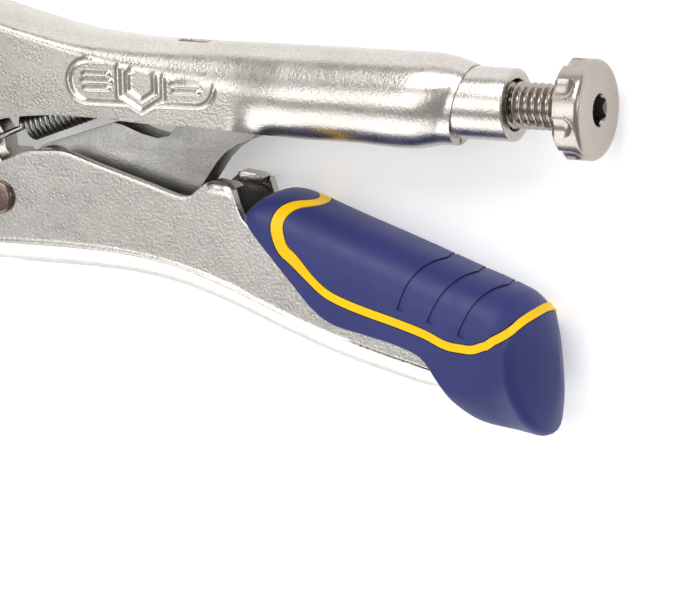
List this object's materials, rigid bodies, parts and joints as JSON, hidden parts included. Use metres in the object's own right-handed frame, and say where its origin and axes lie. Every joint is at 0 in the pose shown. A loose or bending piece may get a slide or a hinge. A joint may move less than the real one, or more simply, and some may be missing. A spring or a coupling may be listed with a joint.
{
  "type": "locking pliers",
  "caption": "Locking pliers with curved toothed jaws, toggle-linked handle, adjusting screw and a quick-release lever in the grip.",
  "frame": {"origin": "on the jaw pivot's axis, at the face of the rivet head that the tool lies on", "axes": "+X to the rear along the adjusting screw, +Y from the lower handle to the upper one, +Z through the thickness"},
  "size_m": [0.234, 0.091, 0.024],
  "materials": {
    "satin_nickel": "satin nickel plating over pressed sheet, with a fine orange-peel texture",
    "jaw_steel": "satin nickel plating over forged steel",
    "link_steel": "dull grey plating over stamped steel",
    "rivet_steel": "dark brownish steel, coined flat",
    "spring_steel": "drawn wire, oiled",
    "bright_nickel": "bright nickel plating, softly worn",
    "blue_moulding": "matt moulded plastic",
    "yellow_moulding": "matt moulded plastic"
  },
  "bodies": {
    "frame": {"frame_shell": "satin_nickel", "upper_jaw": "jaw_steel", "upper_jaw_pin_1": "rivet_steel", "upper_jaw_pin_2": "rivet_steel", "jaw_pivot_rivet": "rivet_steel", "threaded_collar": "satin_nickel", "opening_spring": "spring_steel"},
    "lower_jaw": {"lower_jaw": "jaw_steel"},
    "lower_handle": {"lower_handle": "satin_nickel", "handle_pivot_rivet": "rivet_steel", "link_pin": "satin_nickel", "lever_pin": "rivet_steel"},
    "link": {"link": "link_steel"},
    "release_lever": {"release_lever": "link_steel", "grip": "blue_moulding", "grip_stripe": "yellow_moulding"},
    "screw": {"adjusting_screw": "bright_nickel"},
    "knob": {"screw_knob": "bright_nickel"}
  },
  "joints": [
    {"name": "jaw_pivot", "type": "hinge", "parent": "frame", "child": "lower_jaw", "pos_m": [0, 0, 0.012], "axis": [0, 0, 1], "range_deg": [0, 6.05], "deforming": ["opening_spring"]},
    {"name": "handle_pivot", "type": "hinge", "parent": "lower_jaw", "child": "lower_handle", "pos_m": [0.0234, -0.0207, 0.012], "axis": [0, 0, -1], "range_deg": [0, 55]},
    {"name": "link_pivot", "type": "hinge", "parent": "lower_handle", "child": "link", "pos_m": [0.0341, -0.0156, 0.012], "axis": [0, 0, 1], "range_deg": [0, 56.4]},
    {"name": "lever_pivot", "type": "hinge", "parent": "lower_handle", "child": "release_lever", "pos_m": [0.0885, -0.0255, 0.012], "axis": [0, 0, -1], "range_deg": [0, 6]},
    {"name": "screw_travel", "type": "slide", "parent": "frame", "child": "screw", "axis": [1, 0, 0], "range_m": [0, 0.012]},
    {"name": "knob_turn", "type": "hinge", "parent": "screw", "child": "knob", "pos_m": [0.1545, 0.004, 0.012], "axis": [1, 0, 0], "range_deg": [0, 2722]}
  ],
  "couplings": [
    {"joint": "jaw_pivot", "follows": "handle_pivot", "ratio": 0.11},
    {"joint": "link_pivot", "follows": "handle_pivot", "ratio": 1.025},
    {"joint": "knob_turn", "follows": "screw_travel", "rad_per_m": 3957.9}
  ]
}
